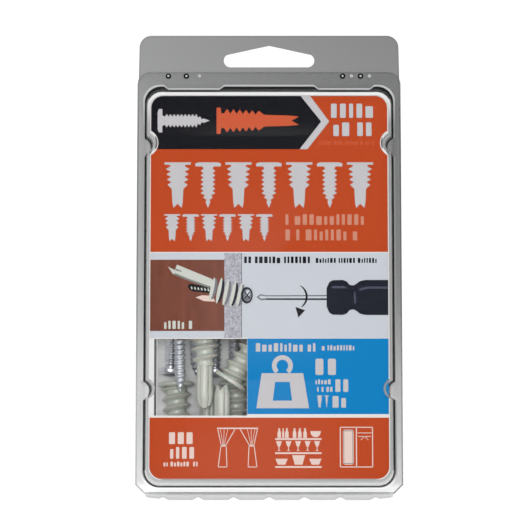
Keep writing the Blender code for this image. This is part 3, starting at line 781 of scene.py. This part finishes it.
def print_picture():
    """An anchor going through plasterboard, and the screwdriver that turns it."""
    Drawing("picture_prong", 2, PALE).add(
        [(-25.3, -90.1), (-23.0, -89.4), (-19.4, -89.6), (-18.6, -91.6), (-22.4, -91.4)]
    ).done()
    Drawing("picture_screw", 2, BLACK).add(
        [(-28.0, -86.2), (-27.2, -85.4), (-20.0, -86.5), (-19.6, -88.8), (-26.4, -88.0), (-27.6, -87.2)]
    ).done()
    ticks = Drawing("picture_screw_thread", 3, IVORY)
    for k in range(6):
        x, z = -27.0 + k * 1.15, -86.5 - k * 0.13
        ticks.add([(x, z), (x + 0.45, z + 0.1), (x + 0.75, z - 0.75), (x + 0.3, z - 0.85)])
    ticks.done()
    tube = [(-31.7, -78.8), (-19.6, -83.8), (-18.6, -87.6), (-26.7, -84.8)]
    tube += [(-32.9, -82.3), (-34.8, -79.5), (-32.4, -80.7)]
    Drawing("picture_tube", 4, IVORY).add(tube).done()
    shade = Drawing("picture_tube_shade", 5, SHADE)
    below = [(-32.5, -81.7), (-26.6, -84.1), (-19.2, -86.7), (-18.8, -87.5)]
    shade.add(below + [(-26.7, -84.8), (-32.9, -82.3)])
    shade.add([(-32.4, -80.7), (-31.9, -80.2), (-30.0, -81.0), (-30.2, -81.3)])
    shade.done()
    rings = [(-19.6, -87.2, 4.0), (-17.2, -87.8, 4.5), (-14.9, -88.4, 4.6)]
    rings += [(-12.5, -89.0, 4.5), (-10.3, -89.4, 4.2)]
    for k, (x, z, tall) in enumerate(rings):
        dark = Drawing(f"picture_ring_shade_{k + 1}", 5 + 2 * k, NAVY if k in (1, 3) else STEEL_INK)
        dark.add(turned_ellipse(x + 0.62, z - 0.1, 0.95, tall * 0.9, 12)).done()
        pale = Drawing(f"picture_ring_{k + 1}", 6 + 2 * k, IVORY)
        pale.add(turned_ellipse(x, z, 0.62, tall, 12)).done()
    Drawing("picture_screw_rim", 15, NAVY).add(ellipse(-7.7, -89.4, 2.05, 2.85)).done()
    Drawing("picture_screw_face", 16, STEEL_INK).add(ellipse(-7.5, -89.4, 1.45, 2.2)).done()
    Drawing("picture_screw_gloss", 17, PANEL).add(ellipse(-7.3, -88.7, 0.8, 1.1)).done()
    cross = Drawing("picture_screw_cross", 18, NAVY)
    cross.line([(-8.4, -90.6), (-6.6, -88.2)], 0.35).line([(-8.4, -88.2), (-6.6, -90.6)], 0.35)
    cross.done()
    blade = Drawing("picture_blade", 2, STEEL_INK)
    tip = [(-4.4, -90.0), (-2.9, -89.0), (-1.2, -89.4)]
    blade.add(tip + [(19.8, -89.3), (19.8, -91.1), (-1.2, -91.0), (-2.8, -91.2)])
    blade.done()
    tip = [(-3.6, -90.0), (-2.8, -89.5), (-1.2, -89.8)]
    light = tip + [(19.8, -89.75), (19.8, -90.4), (-1.2, -90.4), (-2.6, -90.6)]
    Drawing("picture_blade_light", 3, PANEL).add(light).done()
    Drawing("picture_blade_edge", 4, NAVY).box(-1.0, -90.95, 19.8, -90.55).done()
    upper = [
        (19.7, -87.0), (20.6, -84.9), (21.8, -84.2), (25.2, -84.1), (26.6, -84.6), (27.6, -85.8),
        (28.9, -86.0), (30.0, -85.4), (31.2, -84.5), (33.0, -84.1), (RIGHT, -84.1),
    ]
    lower = [(x, -180.3 - z) for x, z in reversed(upper)]
    Drawing("picture_handle", 3, NAVY).add(upper + lower).done()
    gloss = Drawing("picture_handle_gloss", 4, SLATE)
    gloss.add([(21.6, -86.2), (25.8, -86.2), (26.8, -87.0), (21.4, -87.0)])
    gloss.add([(30.6, -87.3), (33.2, -86.4), (RIGHT, -86.4), (RIGHT, -87.1), (33.4, -87.1), (31.2, -87.9)])
    gloss.add([(29.0, -88.4), (29.6, -88.4), (29.8, -92.2), (29.2, -92.4)])
    gloss.done()
    arrow = Drawing("picture_arrow", 4, BLACK)
    outer = arc(8.9, -89.9, 4.3, 62, -118, 18)
    inner = arc(7.9, -89.9, 4.6, 56, -106, 18)
    arrow.add([*outer, *reversed(inner)])
    arrow.add([(9.0, -93.4), (12.3, -94.6), (10.0, -97.0)])
    arrow.done()
    above = Drawing("picture_dashes", 1, BLACK)
    above.dashes(-8.6, -78.3, 14.0, -76.0, 8).dashes(16.0, -78.2, 37.6, -76.5, 9)
    above.done()
    Drawing("picture_number", 2, IVORY).dashes(-36.0, -101.0, -25.0, -98.2, 10).done()
    Drawing("picture_plaster_edge", 2, STEEL_INK).box(-9.6, -104.0, -9.35, -74.9).done()


def ellipse(cx, cz, rx, rz, steps=28):
    return [(cx + rx * math.cos(TAU * k / steps), cz - rz * math.sin(TAU * k / steps)) for k in range(steps)]


def turned_ellipse(cx, cz, rx, rz, angle):
    c, s = math.cos(math.radians(angle)), math.sin(math.radians(angle))
    level = ellipse(cx, cz, rx, rz)
    return [(cx + (x - cx) * c + (z - cz) * s, cz - (x - cx) * s + (z - cz) * c) for x, z in level]


def print_blue():
    """A load pictogram: a weight on a hook, with rows of dashes."""
    art = Drawing("blue_weight", 1, SILVER)
    body = [(-4.4, -128.2), (-2.6, -116.2), (11.6, -116.2), (13.6, -128.2)]
    art.add(body, [(1.2, -125.6), (2.0, -119.2), (7.0, -119.2), (7.8, -125.6)])
    art.add([*arc(4.5, -113.6, 3.6, -50, 280, 20), *reversed(arc(4.5, -113.6, 2.0, -50, 280, 20))])
    art.done()
    rows = Drawing("blue_dashes", 1, SILVER)
    rows.dashes(-4.6, -108.8, 16.0, -105.9, 11).dashes(18.0, -108.4, 29.5, -106.6, 12)
    rows.dashes(15.8, -116.8, 25.2, -110.0, 13).dashes(15.8, -120.0, 21.6, -118.3, 14)
    rows.dashes(15.8, -122.6, 21.6, -120.9, 15).dashes(22.6, -122.6, 27.0, -118.3, 16)
    rows.dashes(21.6, -128.0, 28.0, -124.0, 17)
    rows.add(placed(anchor_shape(3), 17.2, -123.8, -90, 4.3, 1.2))
    rows.add(placed(with_point(screw_shape(4)), 19.6, -123.8, -90, 4.3, 1.4))
    rows.done()


def print_lower():
    """Three pictograms of things that such anchors hold: curtains, shelves and a wardrobe."""
    art = Drawing("lower_dashes", 1, PALE)
    art.dashes(-35.6, -140.4, -24.4, -136.4, 18).dashes(-33.8, -145.4, -24.4, -141.4, 19)
    art.dashes(-36.0, -148.0, -24.4, -146.4, 20)
    art.done()

    curtains = Drawing("lower_curtains", 1, PALE)
    curtains.box(-17.8, -135.3, -3.8, -134.8)
    for side in (-1, 1):
        middle = -10.8

        def x(offset):
            return middle + side * offset

        outer = [(x(6.8), -135.2), (x(5.6), -140.6), (x(6.6), -148.2)]
        curtains.line(outer + [(x(3.6), -148.2), (x(3.9), -140.8)], 0.3)
        curtains.line([(x(3.9), -140.6), (x(0.9), -135.4)], 0.3)
        curtains.line([(x(5.7), -140.9), (x(3.7), -140.9)], 0.7)
        for k in range(3):
            curtains.line([(x(5.9 - 1.3 * k), -135.2), (x(5.0 - 0.25 * k), -140.4)], 0.18)
    curtains.done()

    shelves = Drawing("lower_shelves", 1, PALE)
    for z in (-138.4, -143.2, -147.9):
        shelves.box(2.0, z - 0.6, 17.8, z)
    for k, width in enumerate((1.2, 0.7, 1.2, 1.2, 1.2, 1.2)):
        x0 = (2.8, 4.4, 5.4, 8.0, 9.8, 11.6)[k]
        near, far, end = x0 + width * 0.25, x0 + width * 0.75, x0 + width
        bottle = [(x0, -138.3), (x0, -136.4), (near, -135.8), (near, -135.0)]
        shelves.add(bottle + [(far, -135.0), (far, -135.8), (end, -136.4), (end, -138.3)])
    shelves.add([(14.0, -136.0), (17.6, -136.0), *arc(15.8, -136.4, 1.7, -10, -160, 8)])
    for k in range(5):
        x0 = 3.3 + k * 3.25
        glass = [(1.0, -139.4), (0.5, -141.0), (0.15, -141.4), (0.15, -142.4), (0.7, -142.7)]
        mirrored_glass = [(x0 - dx, z) for dx, z in reversed(glass)]
        shelves.add([mirrored_glass[-1], *[(x0 + dx, z) for dx, z in glass], *mirrored_glass[:-1]])
    for x0, width, top in ((4.2, 2.1, -145.4), (10.0, 2.2, -144.2), (15.7, 2.1, -145.4)):
        foot = width * 0.6
        shelves.add([(x0 - width, top), (x0 + width, top), (x0 + foot, -147.4), (x0 - foot, -147.4)])
    shelves.done()

    wardrobe = Drawing("lower_wardrobe", 1, PALE)
    wardrobe.line([(24.2, -134.7), (35.2, -134.7), (35.2, -148.2), (24.2, -148.2)], 0.35, closed=True)
    wardrobe.line([(29.7, -134.7), (29.7, -148.2)], 0.4)
    wardrobe.line([(30.1, -136.6), (34.9, -136.6)], 0.25).line([(30.4, -137.8), (34.6, -137.8)], 0.25)
    wardrobe.line([(32.5, -137.8), (31.2, -139.0)], 0.2).line([(32.5, -137.8), (33.8, -139.0)], 0.2)
    wardrobe.box(25.1, -147.4, 28.8, -135.5, 0.8)
    wardrobe.done()
    mirror = Drawing("lower_mirror", 2, STEEL_INK)
    mirror.line([(25.4, -147.0), (25.4, -135.9), (28.5, -135.9), (28.5, -147.0)], 0.22, closed=True)
    mirror.done()


# ---------------------------------------------------------------- anchors and screws


def turned_grid(radius_at, depth_at, rows, sides):
    """A closed turned solid, from depth_at(turn, share), share 0 to 1, and radius_at(turn, depth)."""
    bm = bmesh.new()
    grid = []
    for row in range(rows + 1):
        share = row / rows
        ring = []
        for k in range(sides):
            turn = TAU * k / sides
            depth = depth_at(turn, share)
            radius = radius_at(turn, depth)
            x, y = radius * math.cos(turn) * MM, radius * math.sin(turn) * MM
            ring.append(bm.verts.new((x, y, -depth * MM)))
        grid.append(ring)
    for above, below in zip(grid, grid[1:]):
        for k in range(sides):
            n = (k + 1) % sides
            bm.faces.new((above[k], above[n], below[n], below[k]))
    for ring in (grid[0], grid[-1]):
        middle = bm.verts.new(sum((v.co for v in ring), Vector()) / sides)
        for k in range(sides):
            bm.faces.new((ring[k], ring[(k + 1) % sides], middle))
    bmesh.ops.recalc_face_normals(bm, faces=bm.faces)
    return bm


def phillips(width, depth, arm):
    """The two crossing cutters of a Phillips recess, which narrows downwards from a head's face."""
    cutters = []
    for turn in (0.0, math.pi / 2):
        bm = bmesh.new()
        rings = []
        for half, z in ((width * 1.2, 0.7), (width * 0.35, -depth)):
            corners = [(-half, -arm, z), (half, -arm, z), (half, arm, z), (-half, arm, z)]
            rings.append([bm.verts.new(Matrix.Rotation(turn, 3, "Z") @ (Vector(c) * MM)) for c in corners])
        for k in range(4):
            n = (k + 1) % 4
            bm.faces.new((rings[0][k], rings[0][n], rings[1][n], rings[1][k]))
        bm.faces.new(rings[0])
        bm.faces.new(rings[1])
        bmesh.ops.recalc_face_normals(bm, faces=bm.faces)
        cutters.append(piece("recess", bm, []))
    return cutters


def ridge(phase, width):
    """A thread's height, 0 to 1, at a phase of its pitch."""
    t = abs((phase % 1.0) - 0.5) / width
    return max(0.0, 1.0 - t) ** 0.75


def anchor_mesh():
    """The nylon anchor: head with a cross recess, deep helical thread, fluted nose and forked tip."""
    nose = 17.3

    def depth_at(turn, share):
        depth = ANCHOR_LENGTH * share
        if depth > 27.5:
            prong = 2.6 * (1 - abs(math.cos(turn)) ** 0.7)
            depth = 27.5 + (depth - 27.5) * (ANCHOR_LENGTH - 27.5 - prong) / (ANCHOR_LENGTH - 27.5)
        return depth

    def radius_at(turn, depth):
        if depth < 1.5:
            edge = min(depth, 1.5 - depth) / 0.45
            return 6.2 - 0.5 * max(0.0, 1 - edge) ** 2
        if depth < nose:
            along = (depth - 1.5) / (nose - 1.5)
            core = 3.7 - 0.9 * along
            fade = min(1.0, along / 0.06, (1 - along) / 0.08)
            crest = 5.5 - 0.9 * along
            return core + (crest - core) * fade * ridge(depth / 3.6 + turn / TAU, 0.3)
        flute = 2.2 + 0.6 * abs(math.cos(2 * turn)) ** 0.6
        if depth > 28.0:
            flute *= 1 - 0.3 * (depth - 28.0) / (ANCHOR_LENGTH - 28.0)
        return flute

    bm = turned_grid(radius_at, depth_at, 150, 32)
    made = piece("anchor_detail", bm, [NYLON], 50)
    bore = lathe([(0, 1.0), (1.45, 1.0), (1.45, -25.0), (0, -25.0)], 20)
    return cut(made, piece("bore", bore, []), *phillips(3.4, 2.6, 0.6))


def screw_mesh():
    """The steel screw: pan head with a cross recess, sharp helical thread and point."""

    def depth_at(_, share):
        return SCREW_LENGTH * share

    def radius_at(turn, depth):
        if depth < 2.6:
            dome = math.sqrt(max(0.0, 1 - (1 - min(1.0, depth / 1.6)) ** 2))
            edge = max(0.0, (depth - 2.3) / 0.3)
            return max(0.4, 2.2 + 1.85 * dome - 0.2 * edge)
        point = min(1.0, max(0.02, (SCREW_LENGTH - depth) / 5.0))
        root = 1.5 * point
        fade = min(1.0, (depth - 2.6) / 2.0)
        return root + 0.57 * fade * min(1.0, point * 1.6) * ridge(depth / 1.75 + turn / TAU, 0.42)

    made = piece("screw_detail", turned_grid(radius_at, depth_at, 190, 24), [ZINC], 50)
    return cut(made, *phillips(2.0, 1.8, 0.42))


def pose_of(node, roll):
    """The matrix that carries a detailed piece from its own axes onto a loose CAD node."""
    points = np.unique(np.round([v.co[:] for v in node.data.vertices], 6), axis=0)
    middle = points.mean(axis=0)
    _, vectors = np.linalg.eigh(np.cov((points - middle).T))
    axis = vectors[:, -1]
    along = (points - middle) @ axis
    across = np.linalg.norm(points - middle - np.outer(along, axis), axis=1)
    low, high = along.min(), along.max()
    if across[along > high - 3 * MM].max() < across[along < low + 3 * MM].max():
        axis, along, high = -axis, -along, -low
    head = Vector(middle + axis * high)
    up = Vector(axis)
    tilt = up.to_track_quat("Z", "Y").to_matrix().to_4x4()
    return Matrix.Translation(head) @ tilt @ Matrix.Rotation(roll, 4, "Z")


def loose_pieces():
    details = {"anchor": anchor_mesh(), "screw": screw_mesh()}
    dice = random.Random(3)
    for name, node in sorted(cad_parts.items()):
        kind = name.split("_")[0]
        if kind not in details:
            continue
        made = bpy.data.objects.new(f"detailed_{name}", details[kind].data)
        bpy.context.scene.collection.objects.link(made)
        made.matrix_world = pose_of(node, dice.uniform(0, TAU))
        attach(made, "back")
        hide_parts(name)
    for detail in details.values():
        bpy.data.objects.remove(detail)


# ---------------------------------------------------------------- stage


FLOOR_Z = -1.2


def stage():
    bm = bmesh.new()
    bmesh.ops.create_grid(bm, x_segments=1, y_segments=1, size=30.0)
    floor = piece("floor", bm, [surface("floor", (0.80, 0.80, 0.80), 0.8, vary=0.01, scale=2.0)])
    floor.location.z = FLOOR_Z
    world = bpy.data.worlds.new("studio")
    world.use_nodes = True
    background = world.node_tree.nodes["Background"]
    background.inputs["Color"].default_value = (1.0, 1.0, 1.0, 1.0)
    background.inputs["Strength"].default_value = 1.06
    bpy.context.scene.world = world
    for name, place, size, energy in (
        ("key", (-0.5, -0.9, 0.4), 0.5, 1.2),
        ("front", (-0.02, -1.0, -0.14), 0.25, 5.9),
    ):
        data = bpy.data.lights.new(name, "AREA")
        data.size = size
        data.energy = energy
        lamp = bpy.data.objects.new(name, data)
        lamp.location = place
        lamp.rotation_euler = (Vector((0, 0, -0.08)) - Vector(place)).to_track_quat("-Z", "Y").to_euler()
        bpy.context.scene.collection.objects.link(lamp)
    bpy.context.scene.view_settings.view_transform = "Standard"


def camera():
    """Below the pack's middle and looking a little up, with a long lens."""
    data = bpy.data.cameras.new("camera")
    data.sensor_fit = "VERTICAL"
    data.sensor_height = 24.0
    data.lens = 114.575
    made = bpy.data.objects.new("camera", data)
    made.location = (-0.00282, -0.87344, -0.18492)
    made.rotation_euler = (math.radians(97.0), 0.0, 0.0)
    bpy.context.scene.collection.objects.link(made)
    bpy.context.scene.camera = made


# ---------------------------------------------------------------- assembly

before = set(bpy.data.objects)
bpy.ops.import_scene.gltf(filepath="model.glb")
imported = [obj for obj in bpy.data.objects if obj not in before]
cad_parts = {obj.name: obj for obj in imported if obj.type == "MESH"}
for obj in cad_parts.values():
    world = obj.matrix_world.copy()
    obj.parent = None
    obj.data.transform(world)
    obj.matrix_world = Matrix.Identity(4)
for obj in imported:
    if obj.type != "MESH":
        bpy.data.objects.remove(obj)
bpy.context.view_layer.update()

for node_name, material in (("front_card", BOARD), ("back_card", BACK_BOARD)):
    node_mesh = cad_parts[node_name].data
    node_mesh.materials.clear()
    node_mesh.materials.append(material)

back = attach(back_shell(), "back")
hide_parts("back_shell")
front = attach(front_shell(), "front")
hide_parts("front_shell")
for dot in snap_dots():
    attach(dot, "front")
webs = hinge_webs()
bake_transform(webs)

print_fields()
print_banner_marks()
print_title()
print_picture()
print_blue()
print_lower()
loose_pieces()
stage()
camera()
